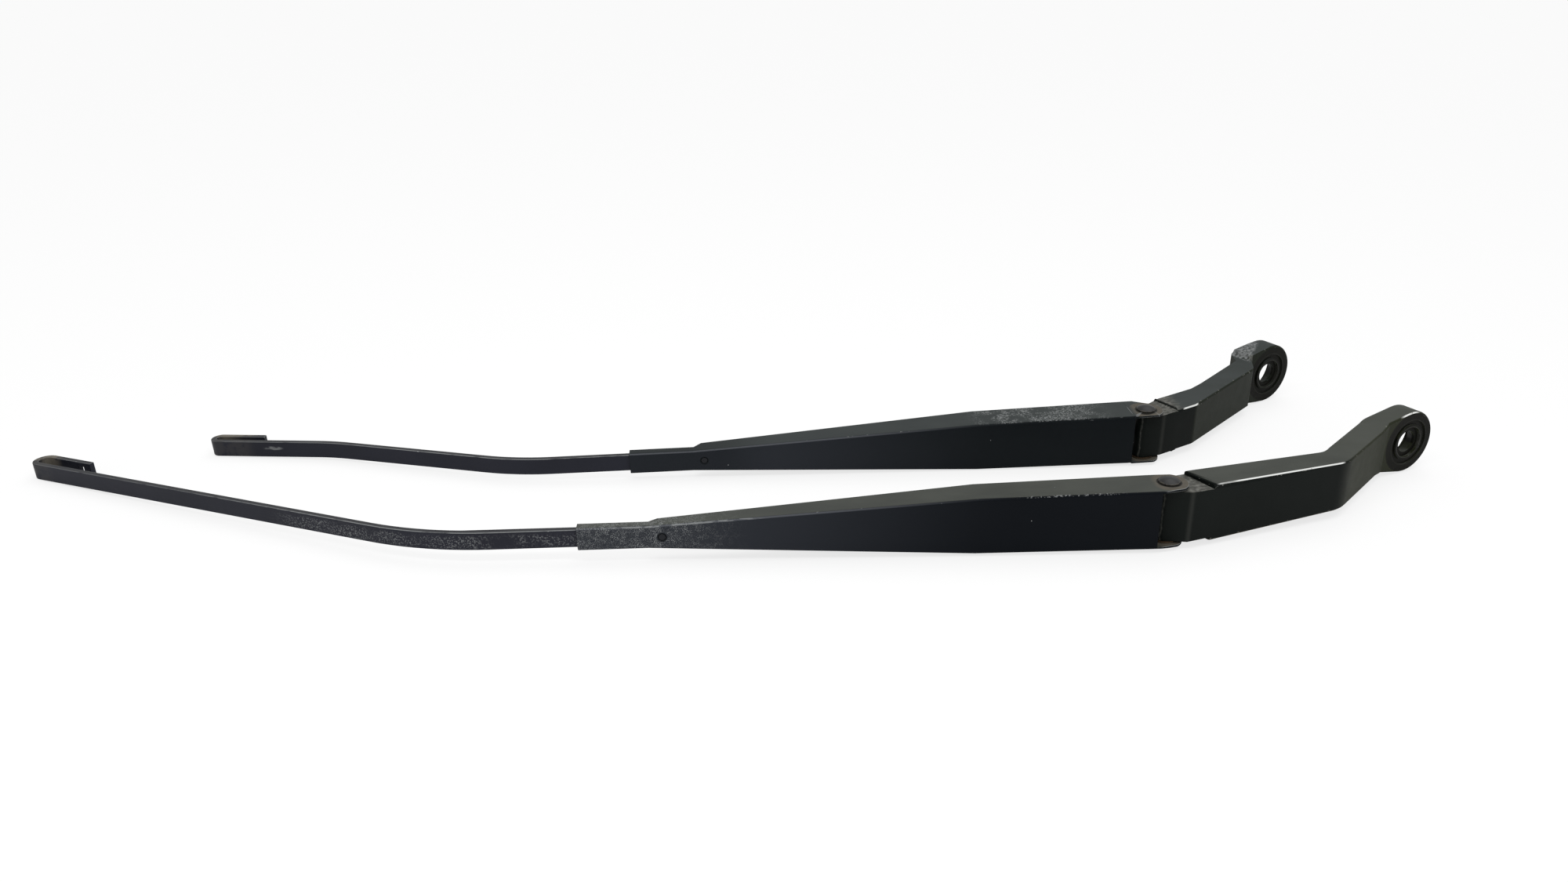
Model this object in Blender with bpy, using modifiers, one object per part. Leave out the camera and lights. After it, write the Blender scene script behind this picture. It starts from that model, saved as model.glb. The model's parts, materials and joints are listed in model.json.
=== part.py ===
"""A pair of windshield wiper arms lying on their sides: a long arm in front, a short one behind it.

Each arm is a die-cast head, a pressed channel that folds on the head's rivet, a flat strap that
ends in a J-shaped hook for the blade, and the spring and C-shaped link that press the arm down.
Every piece is modelled in its arm's own frame: the origin is on the fold axis at mid height, +X
runs from the channel towards the spindle boss, +Y towards the glass and +Z along the fold axis.
"""

from dataclasses import dataclass
from math import acos, atan2, cos, degrees, hypot, pi, radians, sin, tan

import bmesh
import bpy
from mathutils import Matrix, Vector

mm = 0.001

# Clearances and cutters
GAP = 0.3 * mm              # between pieces that touch on the real arm
LINK_GAP = 0.4 * mm         # round the C link, which sweeps past the knuckle
REACH = 60.0 * mm           # a cutter this long passes right through
CUT_OVER = 1.0 * mm         # how far a shallow cutter starts outside the face that it cuts
FINE = 0.01 * mm            # two corners this near are one

# Pressed channel and strap
SHEET = 1.2 * mm            # wall of the pressed channel
WEB_RADIUS = 1.6 * mm       # outer bend between the channel's web and its sides
EAR_RADIUS = 9.0 * mm
EAR_ARC = (-58.0, 70.0)     # degrees round the fold axis, from the web to the side walls' edge
EAR_BACK = 4.0 * mm         # from the fold axis to where that edge runs straight
CRIMP_STEP = 4.0 * mm       # length of the slope between the crimp and the full channel
STRAP_WIDTH = 9.0 * mm
STRAP_THICK = 3.0 * mm
STRAP_INSET = 48.0 * mm     # how far the strap reaches into the channel
STRAP_RIVET_RADIUS = 1.6 * mm
STRAP_RIVET_INSET = 39.5 * mm
STRAP_RIVET_HEAD = 2.6 * mm
STRAP_RIVET_HEIGHT = 0.9 * mm
STRAP_RIVET_SUNK = 0.25 * mm    # how deep its front end lies in the web
HOOK_HOLE = 4.0 * mm        # square hole near the end of the hook
HOOK_HOLE_INSET = 5.0 * mm

# Knuckle and fold axis
RIVET_RADIUS = 2.5 * mm
BUSH_WALL = 0.8 * mm
BUSH_OUTER = RIVET_RADIUS + GAP + BUSH_WALL
BARREL_WALL = 1.5 * mm
BARREL_RADIUS = BUSH_OUTER + GAP + BARREL_WALL  # of the head's round end, which holds the bush
BARREL_ARC = (125.0, 262.0)  # degrees round the fold axis, from the head's back to its front
RIVET_DOME_RADIUS = 5.1 * mm
RIVET_DOME_HEIGHT = 2.0 * mm
RIVET_DOME_RIM = 0.5 * mm   # upright edge under the dome
RIVET_FOOT_RADIUS = 4.6 * mm
RIVET_FOOT_HEIGHT = 1.4 * mm
RIVET_FOOT_TAPER = 0.8 * mm
WASHER_RADIUS = 6.2 * mm
WASHER_THICK = 0.5 * mm
FOLD_LIMIT = 65.0           # degrees that the channel folds away from the glass

# Spring and link
LINK_PIN_RADIUS = 1.8 * mm
LINK_PIN_SLACK = 0.4 * mm   # between the link pin and the knuckle
LINK_PIN_ANGLE = 45.0       # degrees round the fold axis, from +X towards +Y
LINK_PIN_SUNK = 0.6 * mm    # how deep its ends lie in the knuckle
LINK_SLOT_FRONT = 1.0 * mm  # from the fold axis back to where the link's slot starts
LINK_SLOT_ARC = 60.0        # degrees that the slot's round end runs each way from +X
LINK_LIP = -50.0            # degrees round the pin where the C's free end lies
LINK_THICK = 1.8 * mm
LINK_WIDTH = 8.0 * mm
LINK_REACH = 30.0 * mm      # from the link pin to the middle of the hole for the spring
LINK_END = 2.6 * mm         # how far the link runs past that hole
LINK_PLAY = 2.4 * mm        # what folding the channel takes up, since the spring is rigid here
SPRING_WIRE = 1.6 * mm
LINK_HOLE = SPRING_WIRE + 2 * LINK_GAP + LINK_PLAY
LINK_HOLE_WIDTH = SPRING_WIRE + 1.4 * mm
SPRING_RADIUS = 3.6 * mm    # to the middle of the wire
SPRING_TURNS = 14
SPRING_LEG = 9.0 * mm       # straight wire between the coils and the middle of each end hook
SPRING_TAIL = 2.0 * mm
ANCHOR_RADIUS = 1.8 * mm

# Head casting
HEAD_WALL = 3.2 * mm
BORE_RADIUS = 6.0 * mm
SEAT_RADIUS = BORE_RADIUS + 2.6 * mm    # recess round the bore, on the nut's side
SEAT_DEPTH = 1.5 * mm
RING_INNER = SEAT_RADIUS + 1.5 * mm     # groove in the seat face
RING_OUTER = RING_INNER + 2.5 * mm
RING_DEPTH = 0.8 * mm
CONE_RADIUS = BORE_RADIUS + 1.5 * mm    # wide end of the cone that grips the spindle
CONE_DEPTH = 4.0 * mm
CUP_WALL = 2.8 * mm         # round the wide hollow behind the cone
CUP_DEPTH = 6.0 * mm


@dataclass(frozen=True)
class Arm:
    """The sizes that differ between the two arms."""

    name: str
    web_front: float        # the web's outer face, in front of the fold axis
    web_gap: float          # from the fold axis to the end of the web
    flange_back: float      # the side walls' edge, behind the fold axis
    kink: float             # from the fold axis to where the channel's taper ends
    kink_depth: float
    channel: float          # from the fold axis to the narrow end of the channel
    crimp: float            # length of the narrow stretch that grips the strap
    crimp_lip: float        # how far the crimped side walls stand past the strap
    crimp_step: float       # how much deeper the channel is just after the crimp
    half_kink: float
    half_wide: float
    anchor: float           # from the fold axis to the spring anchor
    strap_run: tuple        # straight length, turn in degrees and bend radius after the channel
    hook_depth: float       # outside of the hook
    hook_length: float
    head_front: tuple       # plan of the head's front in mm: (x, y, corner radius), knuckle to step
    head_back: tuple        # plan of the head's back in mm, boss to knuckle
    shoulder: tuple         # ends of the line where the head reaches its full height, in mm
    head_side: tuple        # in mm: (distance along the boss face, how far below the channel's side)
    pocket: tuple           # ends of the hollow under the head along X, in mm
    boss: tuple             # middle of the boss's seat face, in mm
    boss_angle: float       # turn of the seat face from the web
    boss_radius: float
    boss_thick: float
    place: tuple            # the fold axis on the ground
    yaw: float              # turn of the web from the ground's X

    @property
    def half_narrow(self):
        """The channel's half height where it holds the strap."""
        return STRAP_WIDTH / 2 + GAP + SHEET

    @property
    def crimp_depth(self):
        return SHEET + GAP + STRAP_THICK + self.crimp_lip

    @property
    def step_depth(self):
        return self.crimp_depth + self.crimp_step

    @property
    def half_knuckle(self):
        """The knuckle's half height, which leaves room for a washer inside each ear."""
        return self.half_wide - SHEET - WASHER_THICK - 2 * GAP


LONG = Arm(
    name="long",
    web_front=10.2 * mm,
    web_gap=5.9 * mm,
    flange_back=8.6 * mm,
    kink=92.0 * mm,
    kink_depth=16.4 * mm,
    channel=279.0 * mm,
    crimp=37.0 * mm,
    crimp_lip=0.5 * mm,
    crimp_step=2.6 * mm,
    half_kink=14.6 * mm,
    half_wide=15.4 * mm,
    anchor=112.0 * mm,
    strap_run=((71.5 * mm, 22.8, 150.0 * mm), (246.8 * mm, 0.0, 0.0)),
    hook_depth=12.6 * mm,
    hook_length=34.0 * mm,
    head_front=((9.3, -7.4, 0.0), (96.5, 20.7, 22.0), (137.4, 61.8, 0.0)),
    head_back=((129.0, 73.7, 16.0), (89.8, 34.2, 14.0), (11.9, 12.9, 3.0), (3.0, 10.4, 0.0)),
    shoulder=((12.2, 11.0), (21.5, -3.7)),
    head_side=((-30.0, 0.2), (20.0, 0.2), (96.0, 2.1), (144.0, 2.5)),
    pocket=(20.0, 82.0),
    boss=(155.2, 70.9),
    boss_angle=23.4,
    boss_radius=17.3 * mm,
    boss_thick=13.0 * mm,
    place=(0.0, 0.0),
    yaw=2.0,
)

SHORT = Arm(
    name="short",
    web_front=8.3 * mm,
    web_gap=8.1 * mm,
    flange_back=12.4 * mm,
    kink=93.5 * mm,
    kink_depth=18.4 * mm,
    channel=280.2 * mm,
    crimp=38.0 * mm,
    crimp_lip=0.7 * mm,
    crimp_step=4.2 * mm,
    half_kink=13.5 * mm,
    half_wide=14.2 * mm,
    anchor=112.0 * mm,
    strap_run=((59.8 * mm, 17.8, 120.0 * mm), (110.5 * mm, -9.8, 110.0 * mm), (66.5 * mm, 0.0, 0.0)),
    hook_depth=9.6 * mm,
    hook_length=29.4 * mm,
    head_front=((9.0, -3.6, 4.0), (31.9, 8.2, 8.0), (84.5, 55.8, 0.0)),
    head_back=(
        (79.9, 78.5, 1.5),
        (79.4, 69.5, 2.0),
        (37.2, 31.8, 10.0),
        (12.0, 18.8, 3.0),
        (3.6, 12.0, 0.0),
    ),
    shoulder=((12.2, 14.0), (21.5, -3.7)),
    head_side=((-30.0, 2.0), (100.0, 2.0), (105.0, 1.5), (107.8, 0.5), (108.8, -1.3)),
    pocket=(38.0, 72.0),
    boss=(103.9, 75.9),
    boss_angle=26.4,
    boss_radius=18.0 * mm,
    boss_thick=13.0 * mm,
    place=(14.9 * mm, 91.9 * mm),
    yaw=3.6,
)


# --- scene and materials ---------------------------------------------------------------------


def clear_scene():
    for obj in list(bpy.data.objects):
        bpy.data.objects.remove(obj, do_unlink=True)


def new_collection(name):
    collection = bpy.data.collections.new(name)
    bpy.context.scene.collection.children.link(collection)
    return collection


def finish_material(name, color, roughness, metallic=0.0):
    """A Principled BSDF material."""
    material = bpy.data.materials.new(name)
    material.use_nodes = True
    shader = material.node_tree.nodes["Principled BSDF"]
    shader.inputs["Base Color"].default_value = (*color, 1.0)
    shader.inputs["Roughness"].default_value = roughness
    shader.inputs["Metallic"].default_value = metallic
    return material


# --- outlines ---------------------------------------------------------------------------------


def polar(centre, radius, angle):
    """The point at an angle in degrees on a circle."""
    turn = radians(angle)
    return (centre[0] + radius * cos(turn), centre[1] + radius * sin(turn))


def arc(centre, radius, start, end, steps=12):
    """Points along a circle between two angles in degrees."""
    return [polar(centre, radius, start + (end - start) * k / steps) for k in range(steps + 1)]


def round_corner(before, corner, after, radius, steps=6):
    """The arc that rounds one corner of an outline."""
    corner = Vector(corner)
    back = (Vector(before) - corner).normalized()
    ahead = (Vector(after) - corner).normalized()
    half = back.angle(ahead) / 2
    if radius == 0:
        return [tuple(corner)]
    middle = corner + (back + ahead).normalized() * radius / sin(half)
    start = corner + back * radius / tan(half) - middle
    end = corner + ahead * radius / tan(half) - middle
    first = degrees(atan2(start.y, start.x))
    turn = degrees(atan2(start.x * end.y - start.y * end.x, start.dot(end)))
    return arc(middle, radius, first, first + turn, steps)


def rounded(corners, steps=6):
    """An open run of (x, y, corner radius) points with its corners rounded."""
    flat = [corner[:2] for corner in corners]
    outline = [flat[0]]
    for index in range(1, len(corners) - 1):
        outline += round_corner(flat[index - 1], flat[index], flat[index + 1], corners[index][2], steps)
    return outline + [flat[-1]]


def ribbon(path, thick):
    """The outline of a bar of even thickness that lies on the left of a path."""
    points = [Vector(point) for point in path]
    far_side = []
    runs = [(ahead - point).normalized() for point, ahead in zip(points, points[1:])]
    for point, arriving, leaving in zip(points, runs[:1] + runs, runs + runs[-1:]):
        side = Vector((-arriving.y - leaving.y, arriving.x + leaving.x)).normalized()
        lean = side.dot(Vector((-leaving.y, leaving.x)))
        far_side.append(tuple(point + side * thick / lean))
    return [tuple(point) for point in points] + far_side[::-1]


def band(points):
    """A closed outline from (distance, half height) pairs, the same above and below."""
    return list(points) + [(x, -half) for x, half in reversed(points)]


def in_mm(points):
    return [(x * mm, y * mm) for x, y in points]


# --- solids -----------------------------------------------------------------------------------


def to_mesh_object(guide, name, collection):
    """Replaces a guide object by a welded mesh object of the shape that it evaluates to."""
    bpy.context.view_layer.update()
    graph = bpy.context.evaluated_depsgraph_get()
    mesh = bpy.data.meshes.new_from_object(guide.evaluated_get(graph))
    shape = bmesh.new()
    shape.from_mesh(mesh)
    bmesh.ops.remove_doubles(shape, verts=shape.verts, dist=0.00001)
    bmesh.ops.recalc_face_normals(shape, faces=shape.faces)
    shape.to_mesh(mesh)
    shape.free()
    solid = bpy.data.objects.new(name, mesh)
    solid.matrix_world = guide.matrix_world
    collection.objects.link(solid)
    bpy.data.objects.remove(guide, do_unlink=True)
    return solid


def plate(name, outline, low, high, collection, place=Matrix.Identity(4)):
    """A flat outline in XY, filled and raised from low to high, then placed by a matrix."""
    curve = bpy.data.curves.new(name, "CURVE")
    curve.dimensions = "2D"
    curve.fill_mode = "BOTH"
    curve.extrude = (high - low) / 2
    spline = curve.splines.new("POLY")
    spline.points.add(len(outline) - 1)
    for point, (x, y) in zip(spline.points, outline):
        point.co = (x, y, 0.0, 1.0)
    spline.use_cyclic_u = True
    guide = bpy.data.objects.new(name + "_guide", curve)
    collection.objects.link(guide)
    solid = to_mesh_object(guide, name, collection)
    solid.data.transform(place @ Matrix.Translation((0, 0, (low + high) / 2)))
    return solid


def turned(name, profile, collection, place=Matrix.Identity(4), steps=40):
    """A solid of revolution round Z, from (radius, height) points that run top to bottom."""
    mesh = bpy.data.meshes.new(name)
    shape = bmesh.new()
    points = [shape.verts.new((radius, 0.0, height)) for radius, height in profile]
    for first, second in zip(points, points[1:]):
        shape.edges.new((first, second))
    shape.to_mesh(mesh)
    shape.free()
    guide = bpy.data.objects.new(name + "_profile", mesh)
    collection.objects.link(guide)
    screw = guide.modifiers.new("turn", "SCREW")
    screw.steps = steps
    screw.render_steps = steps
    screw.use_merge_vertices = True
    screw.merge_threshold = 0.00001
    solid = to_mesh_object(guide, name, collection)
    solid.data.transform(place)
    return solid


def rod(name, radius, low, high, collection, place=Matrix.Identity(4), steps=40):
    """A plain cylinder on Z."""
    return turned(name, [(0, high), (radius, high), (radius, low), (0, low)], collection, place, steps)


def tube(name, inner, outer, low, high, collection, place=Matrix.Identity(4)):
    """A cylinder on Z with a hole through it."""
    profile = [(inner, high), (outer, high), (outer, low), (inner, low), (inner, high)]
    return turned(name, profile, collection, place)


def wire(name, path, radius, collection):
    """A round wire along a path of points in space."""
    curve = bpy.data.curves.new(name, "CURVE")
    curve.dimensions = "3D"
    curve.bevel_depth = radius
    curve.bevel_resolution = 2
    curve.use_fill_caps = True
    spline = curve.splines.new("POLY")
    spline.points.add(len(path) - 1)
    for point, place in zip(spline.points, path):
        point.co = (*place, 1.0)
    guide = bpy.data.objects.new(name + "_guide", curve)
    collection.objects.link(guide)
    return to_mesh_object(guide, name, collection)


def combine(solid, other, operation):
    """Applies one exact Boolean and removes the other object."""
    modifier = solid.modifiers.new(operation.lower(), "BOOLEAN")
    modifier.operation = operation
    modifier.solver = "EXACT"
    modifier.object = other
    bpy.context.view_layer.update()
    graph = bpy.context.evaluated_depsgraph_get()
    mesh = bpy.data.meshes.new_from_object(solid.evaluated_get(graph))
    solid.modifiers.clear()
    solid.data = mesh
    bpy.data.objects.remove(other, do_unlink=True)


def cut(solid, other):
    combine(solid, other, "DIFFERENCE")


def keep_inside(solid, other):
    combine(solid, other, "INTERSECT")


def bevel_edges(solid, chosen, width, segments):
    """Rounds the edges for which chosen(first corner, second corner) is true."""
    shape = bmesh.new()
    shape.from_mesh(solid.data)
    edges = [edge for edge in shape.edges if chosen(edge.verts[0].co, edge.verts[1].co)]
    bmesh.ops.bevel(shape, geom=edges, offset=width, segments=segments, profile=0.5, affect="EDGES")
    shape.to_mesh(solid.data)
    shape.free()


def lowest(solids, matrix):
    """Height of the lowest corner of some objects' meshes once a matrix has placed them."""
    return min((matrix @ vertex.co).z for solid in solids for vertex in solid.data.vertices)


# Stands an XY outline up: its Y becomes +Z, and its height runs along -Y.
UPRIGHT = Matrix.Rotation(radians(90), 4, "X")


# --- channel ----------------------------------------------------------------------------------


def channel_side(arm, inset):
    """(distance, half height) pairs of the channel seen from its web, less an inset.

    The side walls widen as far as the ears, which are level all round the rivet.
    """
    narrow = -arm.channel
    return [
        (narrow - REACH, arm.half_narrow - inset),
        (narrow + arm.crimp - CRIMP_STEP, arm.half_narrow - inset),
        (-arm.kink, arm.half_kink - inset),
        (-EAR_RADIUS, arm.half_wide - inset),
        (REACH, arm.half_wide - inset),
    ]


def half_height(arm, x, inset):
    """The channel's half height at a distance along it."""
    points = channel_side(arm, inset)
    for (start, low), (end, high) in zip(points, points[1:]):
        if start <= x <= end:
            return low + (high - low) * (x - start) / (end - start)


def make_channel(arm, work):
    """The pressed sheet: the web, two side walls, and an ear at each end of the fold axis."""
    narrow = -arm.channel
    front = -arm.web_front
    outline = [
        (narrow, front),
        (-arm.web_gap, front),
        *arc((0, 0), EAR_RADIUS, *EAR_ARC, 16),
        (-EAR_BACK, arm.flange_back),
        (-arm.kink, front + arm.kink_depth),
        (narrow + arm.crimp, front + arm.step_depth),
        (narrow + arm.crimp - CRIMP_STEP, front + arm.crimp_depth),
        (narrow, front + arm.crimp_depth),
    ]
    channel = plate("channel", outline, -REACH, REACH, work)
    keep_inside(channel, plate("side", band(channel_side(arm, 0.0)), -REACH, REACH, work, UPRIGHT))

    def on_web_bend(first, second):
        level = max(abs(first.y - front), abs(second.y - front)) < FINE
        return level and first.z * second.z > 0 and abs(first.x - second.x) > SHEET

    bevel_edges(channel, on_web_bend, WEB_RADIUS, 3)
    inside = [
        (narrow - CUT_OVER, front + SHEET),
        (-arm.web_gap, front + SHEET),
        (-arm.web_gap, front - CUT_OVER),
        (REACH, front - CUT_OVER),
        (REACH, REACH),
        (narrow - CUT_OVER, REACH),
    ]
    hollow = plate("hollow", inside, -REACH, REACH, work)
    side = plate("inner_side", band(channel_side(arm, SHEET)), -2 * REACH, 2 * REACH, work, UPRIGHT)
    keep_inside(hollow, side)
    cut(channel, hollow)
    cut(channel, rod("pivot_hole", RIVET_RADIUS + GAP, -REACH, REACH, work))
    cut(channel, strap_rivet_hole(arm, work))
    return channel


# --- strap ------------------------------------------------------------------------------------


def strap_rivet_place(arm):
    """Puts Z on the strap rivet's axis, with its zero on the web's outer face and +Z inwards."""
    x = -arm.channel + STRAP_RIVET_INSET
    return Matrix.Translation((x, -arm.web_front, 0)) @ Matrix.Rotation(radians(-90), 4, "X")


def strap_rivet_hole(arm, work):
    """The hole for the strap's rivet, through the web and the strap."""
    return rod("rivet_hole", STRAP_RIVET_RADIUS + GAP, -REACH, REACH, work, strap_rivet_place(arm), 24)


def strap_face(arm):
    """The strap's front face from inside the channel to the hook, and its heading there."""
    x = -arm.channel + STRAP_INSET
    y = -arm.web_front + SHEET + GAP
    heading = 180.0
    corners = [(x, y, 0.0)]
    inset = STRAP_INSET
    for length, turn, radius in arm.strap_run:
        x, y = polar((x, y), length + inset, heading)
        corners.append((x, y, radius))
        heading -= turn
        inset = 0.0
    return rounded(corners, 10), heading


def hook_place(arm):
    """X along the strap to its outer end, Y up, Z from the strap's front face to the glass."""
    face, heading = strap_face(arm)
    return Matrix.Translation((*face[-1], 0)) @ Matrix.Rotation(radians(heading), 4, "Z") @ UPRIGHT


def hook_point(arm, along, across):
    point = hook_place(arm) @ Vector((along, 0, across))
    return (point.x, point.y)


def make_strap(arm, work):
    """The flat bar, with its J-shaped hook bent back on the glass side."""
    face, heading = strap_face(arm)
    bend = arm.hook_depth / 2
    leg = arm.hook_length - bend
    path = face[:-1] + arc(hook_point(arm, 0, bend), bend, heading + 90, heading - 90, 14)
    path.append(hook_point(arm, -leg, arm.hook_depth))
    strap = plate("strap", ribbon(path[::-1], STRAP_THICK), -STRAP_WIDTH / 2, STRAP_WIDTH / 2, work)
    half = HOOK_HOLE / 2
    middle = -leg + HOOK_HOLE_INSET + half
    square = [(middle - half, -half), (middle + half, -half), (middle + half, half), (middle - half, half)]
    leg_inside = arm.hook_depth - STRAP_THICK - CUT_OVER
    leg_outside = arm.hook_depth + CUT_OVER
    cut(strap, plate("hook_hole", square, leg_inside, leg_outside, work, hook_place(arm)))
    cut(strap, strap_rivet_hole(arm, work))
    return strap


def make_strap_rivet(arm, work):
    """Its shank ends just under the web's face, and its head lies behind the strap."""
    seat = SHEET + GAP + STRAP_THICK + GAP
    top = seat + STRAP_RIVET_HEIGHT
    taper = STRAP_RIVET_HEIGHT / 2
    profile = [
        (0, top),
        (STRAP_RIVET_HEAD - taper, top),
        (STRAP_RIVET_HEAD, top - taper),
        (STRAP_RIVET_HEAD, seat),
        (STRAP_RIVET_RADIUS, seat),
        (STRAP_RIVET_RADIUS, STRAP_RIVET_SUNK),
        (0, STRAP_RIVET_SUNK),
    ]
    return turned("strap_rivet", profile, work, strap_rivet_place(arm), 24)


# --- fold axis --------------------------------------------------------------------------------


def make_pivot_rivet(arm, work):
    """A domed head over the upper ear, the shank, and the peened end under the lower ear."""
    seat = arm.half_wide + GAP
    rise = RIVET_DOME_HEIGHT - RIVET_DOME_RIM
    sphere = (RIVET_DOME_RADIUS**2 + rise**2) / (2 * rise)
    edge = degrees(acos(1 - rise / sphere))
    crown = arc((0, seat + RIVET_DOME_HEIGHT - sphere), sphere, 90, 90 - edge, 6)
    profile = [(0, crown[0][1]), *crown[1:]]
    profile += [
        (RIVET_DOME_RADIUS, seat),
        (RIVET_RADIUS, seat),
        (RIVET_RADIUS, -seat),
        (RIVET_FOOT_RADIUS, -seat),
        (RIVET_FOOT_RADIUS, -seat - RIVET_FOOT_HEIGHT / 2),
        (RIVET_FOOT_RADIUS - RIVET_FOOT_TAPER, -seat - RIVET_FOOT_HEIGHT),
        (0, -seat - RIVET_FOOT_HEIGHT),
    ]
    return turned("pivot_rivet", profile, work)


def make_pivot_bush(arm, work):
    return tube("pivot_bush", RIVET_RADIUS + GAP, BUSH_OUTER, -arm.half_knuckle, arm.half_knuckle, work)


def make_washer(arm, side, work):
    """The thin washer between the knuckle and one ear: side is 1 above and -1 below."""
    half = WASHER_THICK / 2
    place = Matrix.Translation((0, 0, side * (arm.half_knuckle + GAP + half)))
    return tube("washer", RIVET_RADIUS + GAP, WASHER_RADIUS, -half, half, work, place)


# --- head -------------------------------------------------------------------------------------


def boss_directions(arm):
    """Along the seat face, and out of it on the nut's side."""
    turn = radians(arm.boss_angle)
    return Vector((cos(turn), sin(turn))), Vector((sin(turn), -cos(turn)))


def boss_turn(arm):
    """Turns X along the seat face, Y up and Z out of the face."""
    along, out = boss_directions(arm)
    return Matrix(((along.x, 0, out.x, 0), (along.y, 0, out.y, 0), (0, 1, 0, 0), (0, 0, 0, 1)))


def boss_place(arm):
    """The boss's own frame, with its zero in the middle of the seat face."""
    x, y = in_mm([arm.boss])[0]
    return Matrix.Translation((x, y, 0)) @ boss_turn(arm)


def head_plan(arm):
    """The head seen along the fold axis."""
    along, out = boss_directions(arm)
    centre = Vector(arm.boss)
    seat_start = centre - along * arm.boss_radius / mm
    seat_end = centre + along * arm.boss_radius / mm
    back_end = seat_end - out * arm.boss_thick / mm
    boss = [(*seat_start, 0.0), (*seat_end, 0.0), (*back_end, 0.0)]
    corners = [*arm.head_front, *boss, *arm.head_back]
    return in_mm(rounded(corners)) + arc((0, 0), BARREL_RADIUS, *BARREL_ARC, 16)


def head_heights(arm):
    """(distance along the boss face, half height) of the head before its boss, in mm."""
    return [(distance, arm.half_wide / mm - below) for distance, below in arm.head_side]


def head_side(arm):
    """The head's half height along the seat face, ending in the round boss."""
    centre = Vector(arm.boss).dot(boss_directions(arm)[0])
    radius = arm.boss_radius / mm
    heights = head_heights(arm)
    distance, half = heights[-1]
    away = hypot(centre - distance, half)
    touch = degrees(atan2(half, distance - centre) - acos(radius / away))
    return in_mm(heights + arc((centre, 0), radius, touch, 0, 20)[:-1])


def make_head(arm, work):
    """The die-cast head: knuckle, cranked arm with a hollow under it, and the spindle boss."""
    head = plate("head", head_plan(arm), -REACH / 2, REACH / 2, work)
    side = head_side(arm)
    centre = Vector(arm.boss).dot(boss_directions(arm)[0])
    end = (centre * mm + arm.boss_radius, 0.0)
    outline = side + [end] + [(x, -half) for x, half in reversed(side)]
    keep_inside(head, plate("head_side", outline, -4 * REACH, 4 * REACH, work, boss_turn(arm)))
    cut(head, plate("upper_ear_room", shoulder_outline(arm), arm.half_knuckle, REACH, work))
    cut(head, plate("lower_ear_room", shoulder_outline(arm), -REACH, -arm.half_knuckle, work))
    cut(head, link_slot(work))
    cut(head, head_pocket(arm, work))
    cut(head, rod("bush_hole", BUSH_OUTER + GAP, -REACH, REACH, work))
    at_pin = Matrix.Translation((*link_pin_centre(), 0))
    cut(head, rod("link_pin_hole", LINK_PIN_RADIUS + GAP, -REACH, REACH, work, at_pin, 24))
    cut(head, boss_bore(arm, work))
    cut(head, tube("seat_groove", RING_INNER, RING_OUTER, -RING_DEPTH, CUT_OVER, work, boss_place(arm)))
    return head


def shoulder_outline(arm):
    """Everything on the knuckle's side of the shoulder line."""
    back, front = (Vector(point) * mm for point in arm.shoulder)
    along = (front - back).normalized() * REACH
    return [tuple(back - along), (-REACH, REACH), (-REACH, -REACH), tuple(front + along)]


def link_slot(work):
    """The slot in the knuckle through which the C link swings, clear of the barrel."""
    x, y = link_pin_centre()
    room = LINK_PIN_RADIUS + GAP + LINK_THICK + LINK_GAP
    half = LINK_WIDTH / 2 + LINK_GAP
    outline = arc((x, y), room, -LINK_SLOT_ARC, LINK_SLOT_ARC, 10)
    outline += [(outline[-1][0], REACH), (-REACH, REACH)]
    outline += [(-REACH, LINK_SLOT_FRONT), (x - room, LINK_SLOT_FRONT)]
    slot = plate("link_slot", outline, -half, half, work)
    cut(slot, rod("barrel", BARREL_RADIUS, -REACH, REACH, work))
    return slot


def head_pocket(arm, work):
    """The hollow under the head, open towards the glass."""
    start, end = arm.pocket
    half = min(height for _, height in head_heights(arm)) * mm - HEAD_WALL
    first, second, third = (Vector(corner[:2]) for corner in arm.head_front)
    if second.x < end:
        first, second = second, third
    along = (second - first).normalized()
    inward = Vector((-along.y, along.x))
    near = (first + along * (start - first.x) / along.x) * mm + inward * HEAD_WALL
    far = (first + along * (end - first.x) / along.x) * mm + inward * HEAD_WALL
    outline = [near, far, far + inward * REACH, near + inward * REACH]
    return plate("pocket", [tuple(point) for point in outline], -half, half, work)


def boss_bore(arm, work):
    """What is turned out of the boss: the nut's recess, the bore, its cone and the hollow behind."""
    back = -arm.boss_thick
    floor = back + CUP_DEPTH
    cup_radius = arm.boss_radius - CUP_WALL
    profile = [
        (0, CUT_OVER),
        (SEAT_RADIUS, CUT_OVER),
        (SEAT_RADIUS, -SEAT_DEPTH),
        (BORE_RADIUS, -SEAT_DEPTH),
        (BORE_RADIUS, floor + CONE_DEPTH),
        (CONE_RADIUS, floor),
        (cup_radius, floor),
        (cup_radius, back - CUT_OVER),
        (0, back - CUT_OVER),
    ]
    return turned("bore", profile, work, boss_place(arm))


# --- link and spring --------------------------------------------------------------------------


def link_pin_centre():
    return polar((0, 0), BARREL_RADIUS + LINK_PIN_SLACK + LINK_PIN_RADIUS, LINK_PIN_ANGLE)


def anchor_centre(arm):
    """The spring anchor, half way between the web and the side walls' edge at the kink."""
    return (-arm.anchor, -arm.web_front + arm.kink_depth / 2)


def pull_line(arm, fold=0.0):
    """Heading in degrees from the link pin to the spring anchor with the channel folded."""
    x, y = link_pin_centre()
    anchor = Matrix.Rotation(radians(fold), 2) @ Vector(anchor_centre(arm))
    return degrees(atan2(anchor.y - y, anchor.x - x)) % 360


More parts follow.
